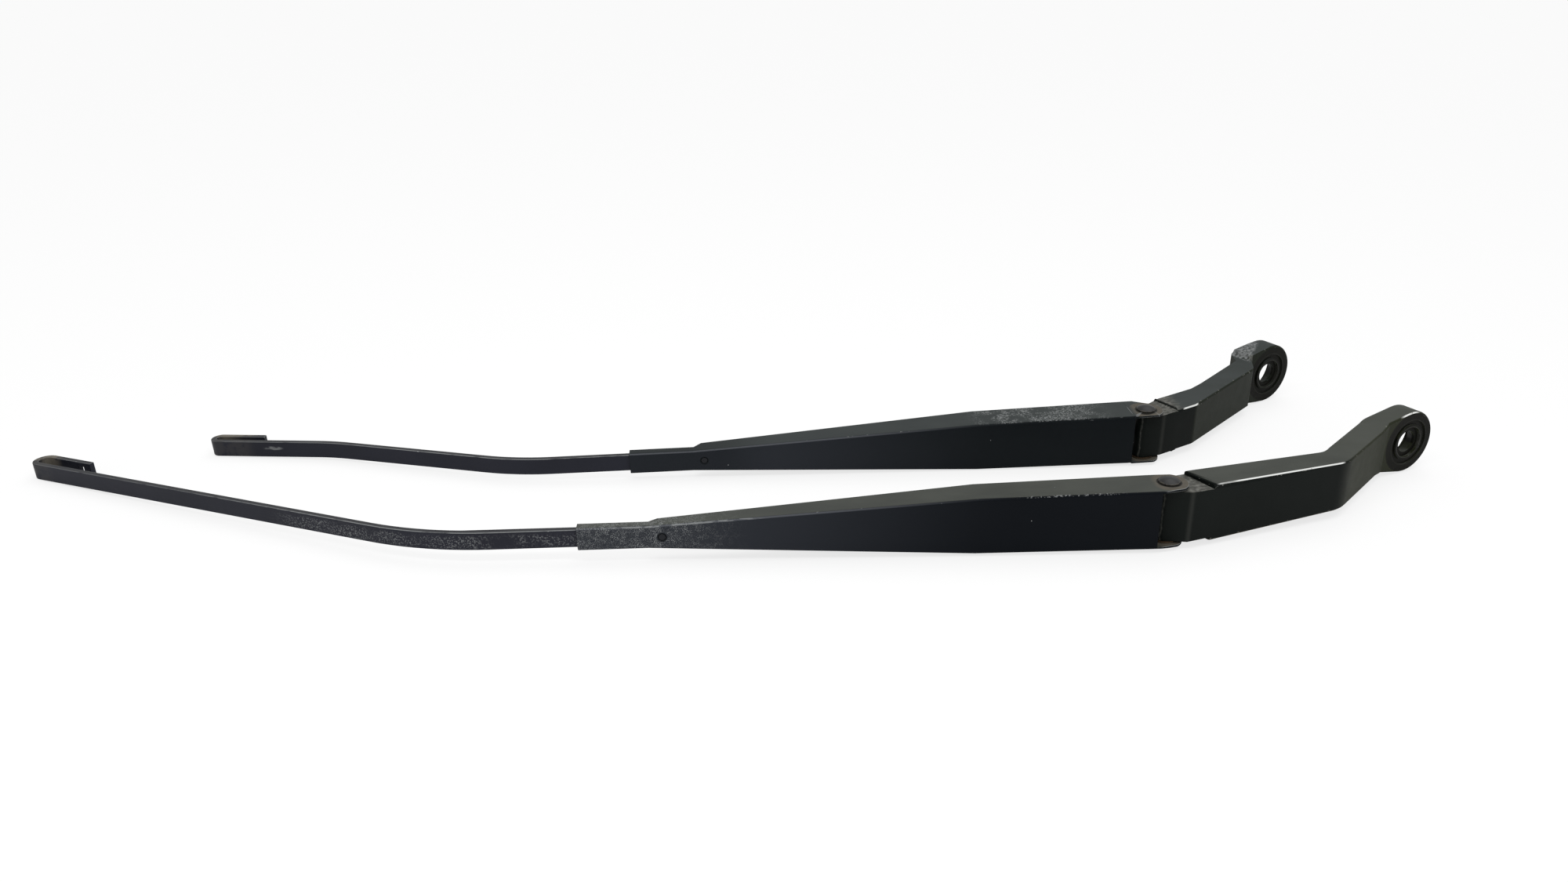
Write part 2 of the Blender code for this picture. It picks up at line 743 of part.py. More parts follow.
def make_link_pin(arm, work):
    """The cross pin in the head that the C link hangs on."""
    half = arm.half_knuckle - LINK_PIN_SUNK
    return rod("link_pin", LINK_PIN_RADIUS, -half, half, work, steps=24)


def make_spring_link(arm, work):
    """A C-shaped bar round the link pin, bowed clear of the knuckle, with a tab for the spring."""
    origin = (0.0, 0.0)
    heading = pull_line(arm)
    swing = pull_line(arm, FOLD_LIMIT) - heading
    reach = hypot(*link_pin_centre())
    bow = BARREL_RADIUS + LINK_GAP
    # Where the knuckle lies, seen from the link, when the channel is folded right back.
    folded = LINK_PIN_ANGLE + 180 - swing
    knuckle = polar(origin, reach, folded)
    inner = LINK_PIN_RADIUS + GAP
    leave = folded - degrees(acos((inner - bow) / reach))
    path = arc(origin, inner, LINK_LIP, leave, 10)
    path += arc(knuckle, bow, leave, folded, 12)
    path += arc(origin, reach + bow, folded, heading, 4)[1:]
    side = Vector(polar(origin, LINK_THICK / 2, heading + 90))
    for distance in (LINK_REACH - LINK_HOLE, LINK_REACH + LINK_HOLE / 2 + LINK_END):
        path.append(tuple(Vector(polar(origin, distance, heading)) + side))
    link = plate("spring_link", ribbon(path[::-1], LINK_THICK), -LINK_WIDTH / 2, LINK_WIDTH / 2, work)
    half = LINK_HOLE / 2
    wide = LINK_HOLE_WIDTH / 2
    corners = [
        (LINK_REACH - half, -wide),
        (LINK_REACH + half, -wide),
        (LINK_REACH + half, wide),
        (LINK_REACH - half, wide),
    ]
    turn = Matrix.Rotation(radians(heading), 4, "Z") @ UPRIGHT
    cut(link, plate("spring_hole", corners, -2 * LINK_THICK, 2 * LINK_THICK, work, turn))
    return link


def make_spring_anchor(arm, work):
    """The cross bar between the channel's side walls that holds the spring."""
    x, y = anchor_centre(arm)
    half = half_height(arm, x - ANCHOR_RADIUS, SHEET) - GAP
    return rod("spring_anchor", ANCHOR_RADIUS, -half, half, work, Matrix.Translation((x, y, 0)), 24)


def make_spring(arm, work):
    """The tension spring along +X from its anchor, with a hook at each end."""
    x, y = link_pin_centre()
    anchor_x, anchor_y = anchor_centre(arm)
    hook = ANCHOR_RADIUS + GAP + SPRING_WIRE / 2
    # The far hook rests LINK_GAP off the end of the link's hole that is nearer to the pin.
    through = LINK_REACH - LINK_HOLE / 2 + LINK_GAP + SPRING_WIRE / 2
    length = hypot(anchor_x - x, anchor_y - y) - through - hook
    path = [(SPRING_TAIL, -hook, 0)]
    path += [(px, py, 0) for px, py in arc((0, 0), hook, 270, 90, 10)]
    coils = length - 2 * SPRING_LEG
    steps = 12 * SPRING_TURNS
    for k in range(steps + 1):
        turn = 2 * pi * k / 12
        path.append((SPRING_LEG + coils * k / steps, SPRING_RADIUS * cos(turn), SPRING_RADIUS * sin(turn)))
    path += [(px, py, 0) for px, py in arc((length, 0), hook, 90, -90, 10)]
    path.append((length - SPRING_TAIL, -hook, 0))
    spring = wire("spring", path, SPRING_WIRE / 2, work)
    spring.data.transform(Matrix.Rotation(radians(pull_line(arm) - 180), 4, "Z"))
    return spring


# --- the two arms -----------------------------------------------------------------------------


def resting(arm, solids):
    """Lays the arm on its hook, its rivet's foot and its boss, with the lowest of them at zero."""
    foot = Vector((0, 0, -arm.half_wide - GAP - RIVET_FOOT_HEIGHT))
    tip = hook_point(arm, 0, arm.hook_depth)
    hook = Vector((*tip, -STRAP_WIDTH / 2))
    boss = boss_place(arm) @ Vector((0, -arm.boss_radius, -arm.boss_thick))
    normal = (boss - foot).cross(hook - foot).normalized()
    level = normal.rotation_difference(Vector((0, 0, 1))).to_matrix().to_4x4()
    turn = Matrix.Rotation(radians(arm.yaw), 4, "Z") @ level
    return Matrix.Translation((*arm.place, -lowest(solids, turn))) @ turn


def hang(solid, name, material, holder, collection):
    """Names a piece, gives it its material and hangs it on an empty."""
    solid.name = name
    solid.data.name = name
    solid.data.materials.clear()
    solid.data.materials.append(material)
    solid.data.shade_smooth()
    solid.data.set_sharp_from_angle(angle=radians(30))
    for owner in list(solid.users_collection):
        owner.objects.unlink(solid)
    collection.objects.link(solid)
    solid.parent = holder


def new_empty(name, collection, location=(0, 0, 0), holder=None):
    empty = bpy.data.objects.new(name, None)
    empty.empty_display_size = 10 * mm
    empty.location = location
    empty.parent = holder
    collection.objects.link(empty)
    return empty


def make_arm(arm, paint, collection, work):
    """All the pieces of one arm, on an empty at its fold axis. Returns that empty and the pieces."""
    axis = new_empty(f"{arm.name}_fold_axis", collection)
    link_axis = new_empty(f"{arm.name}_link_axis", collection, (*link_pin_centre(), 0), axis)
    spring_axis = new_empty(f"{arm.name}_spring_axis", collection, (*anchor_centre(arm), 0), axis)
    pieces = [
        (make_head(arm, work), "head", paint["casting"], axis),
        (make_pivot_bush(arm, work), "pivot_bush", paint["bronze"], axis),
        (make_link_pin(arm, work), "link_pin", paint["zinc"], link_axis),
        (make_channel(arm, work), "channel", paint["sheet"], axis),
        (make_strap(arm, work), "strap", paint["strap"], axis),
        (make_strap_rivet(arm, work), "strap_rivet", paint["zinc"], axis),
        (make_pivot_rivet(arm, work), "pivot_rivet", paint["rivet"], axis),
        (make_washer(arm, 1, work), "upper_washer", paint["washer"], axis),
        (make_washer(arm, -1, work), "lower_washer", paint["washer"], axis),
        (make_spring_anchor(arm, work), "spring_anchor", paint["zinc"], axis),
        (make_spring_link(arm, work), "spring_link", paint["zinc"], link_axis),
        (make_spring(arm, work), "spring", paint["spring"], spring_axis),
    ]
    for solid, name, material, holder in pieces:
        hang(solid, f"{arm.name}_{name}", material, holder, collection)
    grounded = [solid for solid, name, _, _ in pieces if name in ("head", "strap", "pivot_rivet")]
    axis.matrix_world = resting(arm, grounded)
    return axis, [solid for solid, _, _, _ in pieces]


def centre_on_ground(axes, solids):
    """Moves the arms so that the middle of their common box stands over the origin."""
    bpy.context.view_layer.update()
    corners = [solid.matrix_world @ vertex.co for solid in solids for vertex in solid.data.vertices]
    middle_x = (min(c.x for c in corners) + max(c.x for c in corners)) / 2
    middle_y = (min(c.y for c in corners) + max(c.y for c in corners)) / 2
    for axis in axes:
        axis.matrix_world = Matrix.Translation((-middle_x, -middle_y, 0)) @ axis.matrix_world


def main():
    clear_scene()
    parts = new_collection("wiper_arms")
    work = new_collection("cutters")
    work.hide_render = True
    paint = {
        "casting": finish_material("casting_paint", (0.022, 0.025, 0.026), 0.42),
        "sheet": finish_material("sheet_paint", (0.018, 0.020, 0.023), 0.38),
        "strap": finish_material("strap_paint", (0.030, 0.033, 0.038), 0.45),
        "rivet": finish_material("rivet_paint", (0.024, 0.026, 0.028), 0.35),
        "washer": finish_material("washer_brown", (0.130, 0.085, 0.050), 0.55, 0.4),
        "zinc": finish_material("zinc_plate", (0.420, 0.400, 0.360), 0.40, 1.0),
        "bronze": finish_material("bush_bronze", (0.420, 0.270, 0.140), 0.45, 1.0),
        "spring": finish_material("spring_steel", (0.280, 0.270, 0.260), 0.35, 1.0),
    }
    axes = []
    solids = []
    for arm in (LONG, SHORT):
        axis, pieces = make_arm(arm, paint, parts, work)
        axes.append(axis)
        solids += pieces
    centre_on_ground(axes, solids)


main()
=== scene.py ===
# %% [markdown]
# # Two windshield wiper arms, painted and worn
#
# The pieces come ready made, at their real size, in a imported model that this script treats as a
# fixed frame. Here they get what an old pair of arms has on top of its shape: rounded casting
# edges, dusty and chipped black paint, browned hooks and bare metal round the rivets.

import json
from functools import partial
from math import cos, radians, sin

import bpy
from mathutils import Matrix, Vector


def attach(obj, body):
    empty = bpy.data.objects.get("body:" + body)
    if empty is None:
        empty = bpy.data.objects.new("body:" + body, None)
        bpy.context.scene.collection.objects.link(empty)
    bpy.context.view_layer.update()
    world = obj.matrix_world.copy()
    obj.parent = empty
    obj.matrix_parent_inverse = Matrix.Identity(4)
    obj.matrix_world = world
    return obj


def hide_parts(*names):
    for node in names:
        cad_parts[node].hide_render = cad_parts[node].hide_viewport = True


MM = 0.001

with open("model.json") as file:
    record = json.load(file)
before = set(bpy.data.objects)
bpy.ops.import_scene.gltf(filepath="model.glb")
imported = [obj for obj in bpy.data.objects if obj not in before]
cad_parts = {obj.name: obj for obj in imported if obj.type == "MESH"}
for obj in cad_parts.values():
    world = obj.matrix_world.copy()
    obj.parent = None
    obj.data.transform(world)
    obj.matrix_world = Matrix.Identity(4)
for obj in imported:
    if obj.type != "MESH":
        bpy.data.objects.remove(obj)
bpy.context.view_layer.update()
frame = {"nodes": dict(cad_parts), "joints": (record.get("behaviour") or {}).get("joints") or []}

# %% [markdown]
# ## The arms' own axes
#
# Every pattern of wear follows the arm and not the table it lies on, so each arm gets a matrix of
# its own: zero on the rivet's axis, X along the channel towards the spindle boss, Y towards the
# glass and Z up the rivet. The link pin's hinge lies half way between X and Y, which fixes the
# turn about the rivet.

# %% Work out a matrix for each arm
ARMS = ("long", "short")
LINK_PIN_TURN = radians(45)
joints = {joint["name"]: joint for joint in frame["joints"]}


def arm_axes(arm):
    """The arm's matrix, from its fold hinge and its link hinge."""
    fold = joints[arm + "_fold"]
    centre = Vector(fold["pos_m"])
    up = Vector(fold["axis"]).normalized()
    to_pin = Vector(joints[arm + "_link_swing"]["pos_m"]) - centre
    along = Matrix.Rotation(-LINK_PIN_TURN, 3, up) @ to_pin
    along = (along - up * along.dot(up)).normalized()
    turn = Matrix((along, up.cross(along), up)).transposed()
    return Matrix.Translation(centre) @ turn.to_4x4()


axes = {arm: arm_axes(arm) for arm in ARMS}
for arm in ARMS:
    print(arm, "arm's rivet stands at", [round(value, 4) for value in axes[arm].translation])

# %% [markdown]
# ## Camera
#
# The arms are seen from the front, a little above the table, with a fairly wide lens close by,
# which makes the long arm's boss look large. The camera's place is measured from the long arm's
# rivet, so it follows the model. The view transform is Standard, so that a colour shows as it is
# written.

# %% Place the camera
CAMERA_FROM_RIVET = Vector((-0.1823, -0.4950, 0.0))
CAMERA_HEIGHT = 0.285
CAMERA_DOWN = radians(25)
LENS = 27
SENSOR = 36

place = axes["long"].translation + CAMERA_FROM_RIVET
place.z = CAMERA_HEIGHT
bpy.ops.object.camera_add(location=place, rotation=(radians(90) - CAMERA_DOWN, 0, 0))
camera = bpy.context.object
camera.data.lens = LENS
camera.data.sensor_width = SENSOR
camera.data.clip_start = 0.01
bpy.context.scene.camera = camera
bpy.context.scene.view_settings.view_transform = "Standard"
print("the camera stands at", [round(value, 3) for value in place])

# %% [markdown]
# ## Writing shader maths as sums
#
# A worn finish is mostly arithmetic on masks, which are numbers from 0 to 1 over the surface.
# Wiring Math nodes by hand hides that arithmetic. So a small class wraps a socket and lets
# Python's own operators add the nodes, and a second one adds any other node in one line.


# %% A socket that can be used in a sum
class Value:
    """One output of a node. Sums and products with it add Math nodes to its tree."""

    def __init__(self, nodes, socket):
        self.nodes = nodes
        self.socket = socket

    def maths(self, operation, *values):
        return self.nodes.add("Math", {"operation": operation}, dict(enumerate(values)))

    def __add__(self, other):
        return self.maths("ADD", self, other)

    def __sub__(self, other):
        return self.maths("SUBTRACT", self, other)

    def __rsub__(self, other):
        return self.maths("SUBTRACT", other, self)

    def __mul__(self, other):
        return self.maths("MULTIPLY", self, other)

    def __abs__(self):
        return self.maths("ABSOLUTE", self)

    __radd__ = __add__
    __rmul__ = __mul__


# %% A tree that takes whole nodes
class Nodes:
    """The node tree of a material or of the world."""

    def __init__(self, owner):
        owner.use_nodes = True
        self.tree = owner.node_tree

    def add(self, kind, settings=None, sockets=None, output=0):
        """Adds a node: its settings first, then the values or links of its sockets."""
        node = self.tree.nodes.new("ShaderNode" + kind)
        for name, setting in (settings or {}).items():
            setattr(node, name, setting)
        for name, value in (sockets or {}).items():
            self.set(node.inputs[name], value)
        return Value(self, node.outputs[output])

    def set(self, socket, value):
        """Links a value to a socket, or writes a number, a vector or a colour on it."""
        if isinstance(value, Value):
            self.tree.links.new(value.socket, socket)
        elif socket.type == "RGBA":
            socket.default_value = (*value, 1.0)
        else:
            socket.default_value = value


# %% [markdown]
# ## A white table
#
# The arms lie on a plain white table without an edge, so a very large plane does. It has to look
# white and still hold the arms' soft shadow. A brighter lamp would wash out the black paint, so
# the camera sees a share of plain white instead, and everything else sees an ordinary pale floor.

# %% Lay the floor
FLOOR_SIZE = 24.0
FLOOR_GREY = 0.93
FLOOR_ROUGHNESS = 0.9
PLAIN_SHARE = 0.75

bpy.ops.mesh.primitive_plane_add(size=FLOOR_SIZE, location=(0, 0, 0))
floor = bpy.context.object
floor.name = "floor"

floor_paint = bpy.data.materials.new("white_table")
floor_nodes = Nodes(floor_paint)
floor_shader = floor_paint.node_tree.nodes["Principled BSDF"]
floor_nodes.set(floor_shader.inputs["Base Color"], (FLOOR_GREY,) * 3)
floor_nodes.set(floor_shader.inputs["Roughness"], FLOOR_ROUGHNESS)
floor_nodes.set(floor_shader.inputs["Specular IOR Level"], 0.0)
seen_by_camera = floor_nodes.add("LightPath", output="Is Camera Ray")
painted_floor = Value(floor_nodes, floor_shader.outputs["BSDF"])
plain_floor = floor_nodes.add("Emission")
blend = floor_nodes.add(
    "MixShader", None, {0: seen_by_camera * PLAIN_SHARE, 1: painted_floor, 2: plain_floor}
)
floor_nodes.set(floor_paint.node_tree.nodes["Material Output"].inputs["Surface"], blend)
floor.data.materials.append(floor_paint)
print("the floor is", FLOOR_SIZE, "m wide and shows the camera", PLAIN_SHARE, "of plain white")

# %% [markdown]
# ## Soft light
#
# Black satin paint shows mostly what it reflects. Light from all round, at a moderate level, gives
# the even grey of the tops. A wide sun adds a soft shadow, and one long narrow softbox, high in
# front of the arms, lights the faces and rounded edges that turn its way.

# %% Light the room
ROOM_LEVEL = 0.62
BACKDROP_LEVEL = 1.05

world = bpy.context.scene.world or bpy.data.worlds.new("studio")
bpy.context.scene.world = world
sky_nodes = Nodes(world)
sky = world.node_tree.nodes["Background"]
sky_nodes.set(sky.inputs["Color"], (1.0, 1.0, 1.0))
seen_by_camera = sky_nodes.add("LightPath", output="Is Camera Ray")
sky_level = ROOM_LEVEL + (BACKDROP_LEVEL - ROOM_LEVEL) * seen_by_camera
sky_nodes.set(sky.inputs["Strength"], sky_level)
print("the room is lit at", ROOM_LEVEL, "and its backdrop looks like", BACKDROP_LEVEL)

# %% Add a sun and a softbox
SUN_TURN = (radians(-18), radians(14), 0)
SUN_ENERGY = 0.9
SUN_WIDTH = radians(50)
SOFTBOX_PLACE = Vector((0.05, -0.42, 0.85))
SOFTBOX_AIM = Vector((0.05, 0.0, 0.0))
SOFTBOX_SIZE = (1.1, 0.16)
SOFTBOX_ENERGY = 3.2

bpy.ops.object.light_add(type="SUN", rotation=SUN_TURN)
sun = bpy.context.object
sun.data.energy = SUN_ENERGY
sun.data.angle = SUN_WIDTH

bpy.ops.object.light_add(type="AREA", location=SOFTBOX_PLACE)
softbox = bpy.context.object
softbox.rotation_euler = (SOFTBOX_AIM - SOFTBOX_PLACE).to_track_quat("-Z", "Y").to_euler()
softbox.data.shape = "RECTANGLE"
softbox.data.size, softbox.data.size_y = SOFTBOX_SIZE
softbox.data.energy = SOFTBOX_ENERGY
print("the softbox hangs", round(SOFTBOX_PLACE.z, 2), "m above the table")

# %% [markdown]
# ## Rounding what was cast and pressed
#
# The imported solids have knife-sharp edges. A casting leaves its mould with edges rounded by a
# millimetre or more, and a pressed sheet keeps a small bright burr. A bevel on the whole piece
# would also cut the tiny facets of its round parts. So each visible piece is a copy of its solid
# whose loose triangles are first merged into whole faces, and only its sharp edges are bevelled.

# %% Copy a solid and join its faces
MERGE = 2e-6
FLAT = radians(0.05)


def only(piece):
    """Leaves one object selected and active."""
    bpy.ops.object.select_all(action="DESELECT")
    piece.select_set(True)
    bpy.context.view_layer.objects.active = piece


def joined_copy(node, name):
    """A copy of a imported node's mesh, with its triangles merged into flat faces."""
    piece = bpy.data.objects.new(name, frame["nodes"][node].data.copy())
    bpy.context.collection.objects.link(piece)
    piece.data.materials.clear()
    only(piece)
    bpy.ops.object.mode_set(mode="EDIT")
    bpy.ops.mesh.select_all(action="SELECT")
    bpy.ops.mesh.remove_doubles(threshold=MERGE)
    bpy.ops.mesh.dissolve_limited(angle_limit=FLAT)
    bpy.ops.object.mode_set(mode="OBJECT")
    return piece


# %% [markdown]
# The sharp edges are found by the angle between their faces, and a test on each edge's two ends
# chooses among them. The bevel leaves its new faces selected, which is the moment to mark them:
# the mark is an attribute, and the finishes read it wherever an edge is chipped or rubbed, and
# where an edge carries a painted highlight.

# %% Bevel chosen edges and mark the new faces
SHARP = radians(30)
WORN_AND_HIGHLIT_EDGE = "worn_and_highlit_edge"


def select_sharp(piece, chosen):
    """Selects the sharp edges that a test on their two ends chooses, and counts them."""
    mesh = piece.data
    bpy.ops.object.mode_set(mode="EDIT")
    bpy.ops.mesh.select_mode(type="EDGE")
    bpy.ops.mesh.select_all(action="DESELECT")
    bpy.ops.mesh.edges_select_sharp(sharpness=SHARP)
    bpy.ops.object.mode_set(mode="OBJECT")
    for part in [*mesh.polygons, *mesh.vertices]:
        part.select = False
    for edge in mesh.edges:
        first, second = (mesh.vertices[index].co for index in edge.vertices)
        edge.select = edge.select and chosen(first, second)
    return sum(edge.select for edge in mesh.edges)


def bevel(piece, width, segments, chosen):
    """Bevels the chosen sharp edges by a width in metres."""
    only(piece)
    count = select_sharp(piece, chosen)
    bpy.ops.object.mode_set(mode="EDIT")
    bpy.ops.mesh.bevel(offset=width, segments=segments, profile=0.5, clamp_overlap=False)
    bpy.ops.mesh.select_mode(type="FACE")
    bpy.ops.object.mode_set(mode="OBJECT")
    marks = piece.data.attributes.new(WORN_AND_HIGHLIT_EDGE, "FLOAT", "FACE").data
    for face in piece.data.polygons:
        if face.select:
            marks[face.index].value = 1.0
    print(piece.name, "has", count, "edges bevelled by", round(width / MM, 2), "mm")


# %% [markdown]
# A finished piece is shaded smooth up to 40 degrees. Weighted normals then keep its large faces
# flat and leave all of the turning to the narrow bevels, as on a real rounded edge.

# %% Put a finished piece on its body
SMOOTH = radians(40)


def finish_piece(piece, body, node):
    """Smooths a piece and puts it on its body in place of its node."""
    only(piece)
    bpy.ops.object.shade_smooth_by_angle(angle=SMOOTH)
    weigh = piece.modifiers.new("weigh", "WEIGHTED_NORMAL")
    weigh.keep_sharp = True
    bpy.ops.object.modifier_apply(modifier="weigh")
    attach(piece, body)
    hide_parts(node)
    return piece


# %% [markdown]
# ## The cast heads
#
# A head is one die casting: knuckle, cranked neck and round boss. Its long outer edges get the
# widest rounding. Three places stay sharp because they were machined or are too small to round:
# the knuckle round the rivet, the rings and bore on the boss, and the short boss's foot, where
# small flats meet and a wide bevel would fold over itself. They are told apart by distance, in
# the arm's own millimetres.

# %% Tell the outer edges apart
BORES = {"long": ((155.2, 70.9), 23.4), "short": ((103.9, 75.9), 26.4)}
KNUCKLE_REACH = 12.0
BOSS_RIM = 15.8
BLOCK_FOOT = Vector((79.4, 69.5))
BLOCK_REACH = 13.0


def bore_axis(arm):
    """A place on the bore's axis, and the axis, in the arm's own millimetres."""
    (x, y), angle = BORES[arm]
    return Vector((x, y, 0)), Vector((sin(radians(angle)), -cos(radians(angle)), 0))


def from_bore(arm, place):
    """How far a place on an arm is from its bore's axis."""
    centre, axis = bore_axis(arm)
    across = place - centre
    return (across - axis * across.dot(axis)).length


def on_outside(arm, first, second):
    """Whether an edge is clear of the knuckle, the boss's rings and the short boss's foot."""
    places = [axes[arm].inverted() @ end / MM for end in (first, second)]
    if arm == "short" and min((place.xy - BLOCK_FOOT).length for place in places) < BLOCK_REACH:
        return False
    from_rivet = min(place.xy.length for place in places)
    from_axis = min(from_bore(arm, place) for place in places)
    return from_rivet > KNUCKLE_REACH and from_axis > BOSS_RIM


# %% Round the heads
HEAD_ROUND = 1.4 * MM
HEAD_STEPS = 4

pieces = {}
for arm in ARMS:
    node = arm + "_head"
    piece = joined_copy(node, node + "_cast")
    bevel(piece, HEAD_ROUND, HEAD_STEPS, partial(on_outside, arm))
    pieces[node] = finish_piece(piece, arm + "_mount_head", node)

# %% [markdown]
# ## Pressed, drawn and turned pieces
#
# The channel is pressed from sheet, the strap is drawn bar, and the rest is turned or bent wire.
# All of their edges are treated alike, so one loop does for both arms: a fine burr on sheet and
# on the dome, a slightly wider edge on the bar, and no bevel on small inner pieces, which are
# round already or never seen from near.

# %% Soften the other pieces
BURR = 0.2 * MM
BAR_ROUND = 0.4 * MM
BURR_STEPS = 2
SOFTENED = {
    "channel": ("folding_arm", "sheet_paint", BURR),
    "strap": ("folding_arm", "strap_paint", BAR_ROUND),
    "strap_rivet": ("folding_arm", "zinc_plate", 0),
    "pivot_rivet": ("folding_arm", "rivet_paint", BURR),
    "upper_washer": ("folding_arm", "washer_brown", 0),
    "lower_washer": ("folding_arm", "washer_brown", 0),
    "spring_anchor": ("folding_arm", "zinc_plate", 0),
    "spring_link": ("c_link", "zinc_plate", BURR),
    "spring": ("tension_spring", "spring_steel", 0),
    "pivot_bush": ("mount_head", "bush_bronze", 0),
    "link_pin": ("mount_head", "zinc_plate", 0),
}


def every_edge(first, second):
    return True


for arm in ARMS:
    for kind, (body, slot, width) in SOFTENED.items():
        node = f"{arm}_{kind}"
        piece = joined_copy(node, node + "_soft")
        if width:
            bevel(piece, width, BURR_STEPS, every_edge)
        pieces[node] = finish_piece(piece, f"{arm}_{body}", node)
        grown = max(abs(v) for v in piece.dimensions - frame["nodes"][node].dimensions)
        print(node, "changed its size by", round(grown / MM, 2), "mm")

# %% [markdown]
# ## A material that knows its arm
#
# Wear sits at fixed places on an arm: at its ear, along its corner, at its hook. Object
# coordinates, turned and scaled by the arm's matrix, give each point of the surface in
# millimetres on that arm. The normal, turned in the same way, tells a top from a side.


# %% Read a place in the arm's millimetres
class Finish(Nodes):
    """A material on one arm, with the surface's place and facing in the arm's own axes."""

    def __init__(self, name, arm):
        self.material = bpy.data.materials.new(name)
        super().__init__(self.material)
        self.shader = self.tree.nodes["Principled BSDF"]
        self.patterns = 0
        to_arm = {"Rotation": axes[arm].to_euler()}
        place = {"Location": axes[arm].translation, "Scale": (MM,) * 3, **to_arm}
        self.place = self.turned("Object", place)
        self.x, self.y, self.z = self.split(self.place)
        self.facing_x, self.facing_y, self.facing_z = self.split(self.turned("Normal", to_arm))
        self.edge = self.add("Attribute", {"attribute_name": WORN_AND_HIGHLIT_EDGE}, output="Fac")

    def turned(self, coordinates, sockets):
        vector = self.add("TexCoord", output=coordinates)
        return self.add("Mapping", {"vector_type": "TEXTURE"}, {"Vector": vector, **sockets})

    def split(self, vector):
        parts = self.add("SeparateXYZ", None, {0: vector})
        return [Value(self, output) for output in parts.socket.node.outputs]

    def apply(self, sockets):
        """Sets the shader's sockets and returns the material."""
        for name, value in sockets.items():
            self.set(self.shader.inputs[name], value)
        print(self.material.name, "has", len(self.tree.nodes), "nodes")
        return self.material


# %% [markdown]
# ## Masks
#
# All wear is drawn with a handful of masks. A ramp is a soft step and a window is two of them.
# A bend picks the rounded edges between a top and a side by their slanting normals, and a
# distance draws rings round a rivet or a bore.


# %% Steps, windows and bends
def map_range(value, kind, low, high, start, end):
    limits = {"From Min": low, "From Max": high, "To Min": start, "To Max": end}
    return value.nodes.add("MapRange", {"interpolation_type": kind}, {"Value": value, **limits})


def ramp(value, low, high, start=0.0, end=1.0):
    """A soft step from start to end while the value goes from low to high."""
    return map_range(value, "SMOOTHSTEP", low, high, start, end)


def window(value, low, high, soft):
    """1 between low and high, and 0 outside."""
    risen = ramp(value, low - soft, low + soft)
    return risen * ramp(value, high - soft, high + soft, 1.0, 0.0)


def bend(finish):
    """1 on rounded edges between a top or bottom and a side."""
    # The normal's height is 0 on a side and 1 on a top or bottom.
    steep = abs(finish.facing_z)
    return ramp(steep, 0.2, 0.45) * ramp(steep, 0.80, 0.96, 1.0, 0.0)


# %% Distances
FROM_ABOVE = (1, 1, 0)
FROM_FRONT = (1, 0, 1)


def length(finish, vector):
    return finish.add("VectorMath", {"operation": "LENGTH"}, {0: vector}, output="Value")


def distance(finish, centre, axes_used):
    """How far the surface is from a place, with each axis counted by its share."""
    apart = finish.add("VectorMath", {"operation": "SUBTRACT"}, {0: finish.place, 1: centre})
    shared = finish.add("VectorMath", {"operation": "MULTIPLY"}, {0: apart, 1: axes_used})
    return length(finish, shared)


def distance_from_line(finish, centre, axis):
    """How far the surface is from a line through a place."""
    apart = finish.add("VectorMath", {"operation": "SUBTRACT"}, {0: finish.place, 1: centre})
    cross = finish.add("VectorMath", {"operation": "CROSS_PRODUCT"}, {0: apart, 1: axis})
    return length(finish, cross)


# %% [markdown]
# Straight masks look drawn, so most are broken up by noise. Each new noise of a material is
# moved to another place, because two masks that share one noise would wear in the same spots.

# %% Noise and spots
PATTERN_STEP = Vector((37.0, 11.0, 5.0))


def noise(finish, size, detail=2.0, stretch=1.0):
    """Cloudy noise about 0.5, with blotches of a size in mm, longer along X by stretch."""
    finish.patterns += 1
    shift = PATTERN_STEP * finish.patterns
    sockets = {"Vector": finish.place, "Location": shift, "Scale": (1.0 / stretch, 1.0, 1.0)}
    moved = finish.add("Mapping", None, sockets)
    return finish.add("TexNoise", None, {"Vector": moved, "Scale": 1.0 / size, "Detail": detail})


def spots(finish, size, radius):
    """Scattered round spots: 1 inside each, 0 between them."""
    nearest = finish.add("TexVoronoi", None, {"Vector": finish.place, "Scale": 1.0 / size})
    return ramp(nearest, radius * 0.6, radius, 1.0, 0.0)


# %% [markdown]
# ## Coats
#
# A finish is built as it came about, coat over coat: paint, then dust on it, then scratches
# through both. A coat is a pair of colour and roughness, and a mask lays one coat over another.
# The shine is one number on the shader itself, and fine waves in the paint are a bump.

# %% Lay one coat over another
MIX_FACTOR, MIX_A, MIX_B, MIX_RESULT = 0, 6, 7, 2


def mix(amount, first, second):
    """A colour that turns from the first to the second as the amount goes from 0 to 1."""
    sockets = {MIX_FACTOR: amount, MIX_A: first, MIX_B: second}
    return amount.nodes.add("Mix", {"data_type": "RGBA"}, sockets, MIX_RESULT)


def cover(mask, under, over):
    """A (colour, roughness) coat over another where a mask is 1."""
    return mix(mask, under[0], over[0]), map_range(mask, "LINEAR", 0.0, 1.0, under[1], over[1])


def coated(finish, coat, shine, waves, depth):
    """The finished material: its coat, its shine, and waves of a depth in millimetres."""
    color, roughness = coat
    sockets = {"Height": waves, "Strength": 1.0, "Distance": depth * MM}
    return finish.apply({
        "Base Color": color,
        "Roughness": roughness,
        "Specular IOR Level": shine,
        "Normal": finish.add("Bump", None, sockets),
    })
